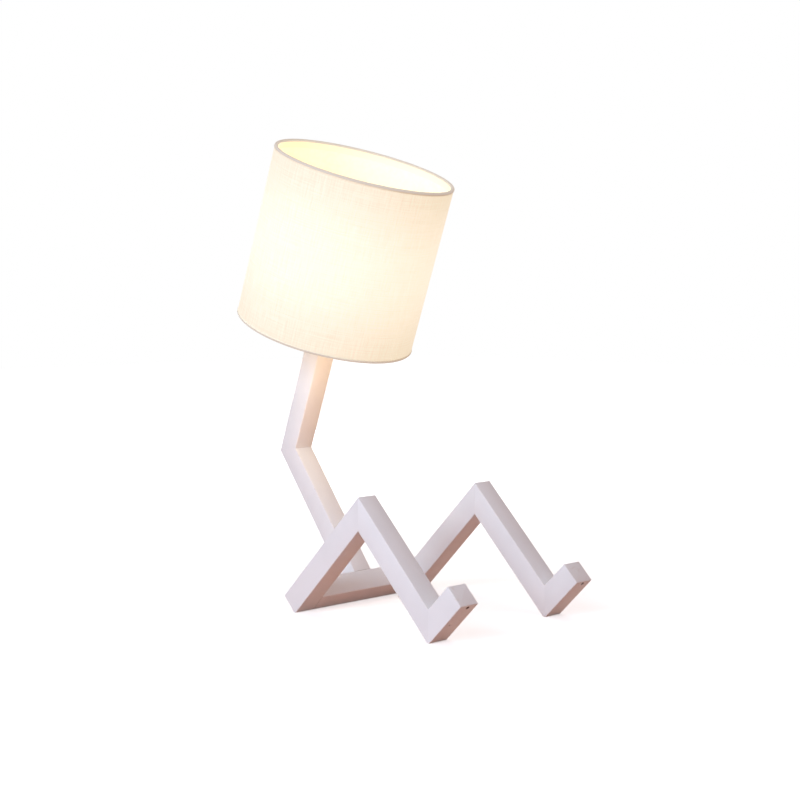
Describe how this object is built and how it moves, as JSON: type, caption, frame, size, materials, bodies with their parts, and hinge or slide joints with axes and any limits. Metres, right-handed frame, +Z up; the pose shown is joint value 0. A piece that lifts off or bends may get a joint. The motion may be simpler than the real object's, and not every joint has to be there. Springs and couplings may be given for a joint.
{
  "type": "table lamp",
  "caption": "Shelf table lamp shaped as a seated reader: square painted timber legs, seat rail and leaning back carry a drum cloth shade on a screw lamp holder.",
  "frame": {"origin": "on the table, under the middle of the lamp's outline from above", "axes": "+X across the lamp to its left leg, -Y the way the lamp faces, +Z up"},
  "size_m": [0.163, 0.323, 0.4147],
  "materials": {
    "painted_wood": "satin white paint on timber",
    "dowel_wood": "bare beech",
    "white_plastic": "moulded white thermoplastic",
    "lead_sheath": "white sheath",
    "brass": "plain brass",
    "steel": "bright plated steel",
    "heat_plastic": "heat-resistant moulded plastic",
    "shade_cloth": "plain linen weave",
    "shade_liner": "translucent backing sheet",
    "white_wire": "white painted wire",
    "black_glass": "black glass",
    "light_board": "white lacquered board",
    "opal_globe": "opal"
  },
  "bodies": {
    "frame": {"thigh_right": "painted_wood", "thigh_left": "painted_wood", "shin_right": "painted_wood", "shin_left": "painted_wood", "foot_right": "painted_wood", "foot_left": "painted_wood", "seat_rail": "painted_wood", "back_post": "painted_wood", "neck_post": "painted_wood", "knee_dowels": "dowel_wood", "ankle_dowels": "dowel_wood", "rail_dowels": "dowel_wood", "post_dowels": "dowel_wood", "bend_dowels": "dowel_wood", "shin_weights": "steel", "cord_bush": "white_plastic", "inner_lead": "lead_sheath", "nipple": "brass", "nipple_nut": "steel", "holder_dome": "white_plastic", "holder_skirt": "white_plastic", "insulating_cup": "heat_plastic", "screw_sleeve": "brass", "spring_contact": "brass", "terminal_blocks": "brass", "terminal_screws": "steel"},
    "shade": {"shade_cloth": "shade_cloth", "shade_liner": "shade_liner", "shade_top_ring": "white_wire", "shade_fitter": "white_wire"},
    "ring": {"shade_ring_nut": "white_plastic"},
    "bulb_foot": {"bulb_foot_contact": "steel"},
    "bulb": {"bulb_insulator": "black_glass", "bulb_cap": "steel", "bulb_housing": "white_plastic", "bulb_light_board": "light_board", "bulb_globe": "opal_globe"}
  },
  "joints": [
    {"name": "shade_turn", "type": "hinge", "parent": "frame", "child": "shade", "pos_m": [0, 0.08842, 0.23308], "axis": [0, -0.3502, 0.9367], "continuous": true},
    {"name": "ring_travel", "type": "slide", "parent": "frame", "child": "ring", "axis": [0, -0.3502, 0.9367], "range_m": [0, 0.02]},
    {"name": "bulb_travel", "type": "slide", "parent": "frame", "child": "bulb_foot", "axis": [0, -0.3502, 0.9367], "range_m": [0, 0.02]},
    {"name": "bulb_turn", "type": "hinge", "parent": "bulb_foot", "child": "bulb", "pos_m": [0, 0.08842, 0.23308], "axis": [0, -0.3502, 0.9367], "range_deg": [0, 1980]}
  ],
  "couplings": [
    {"joint": "bulb_travel", "follows": "bulb_turn", "m_per_rad": 0.00057757}
  ]
}
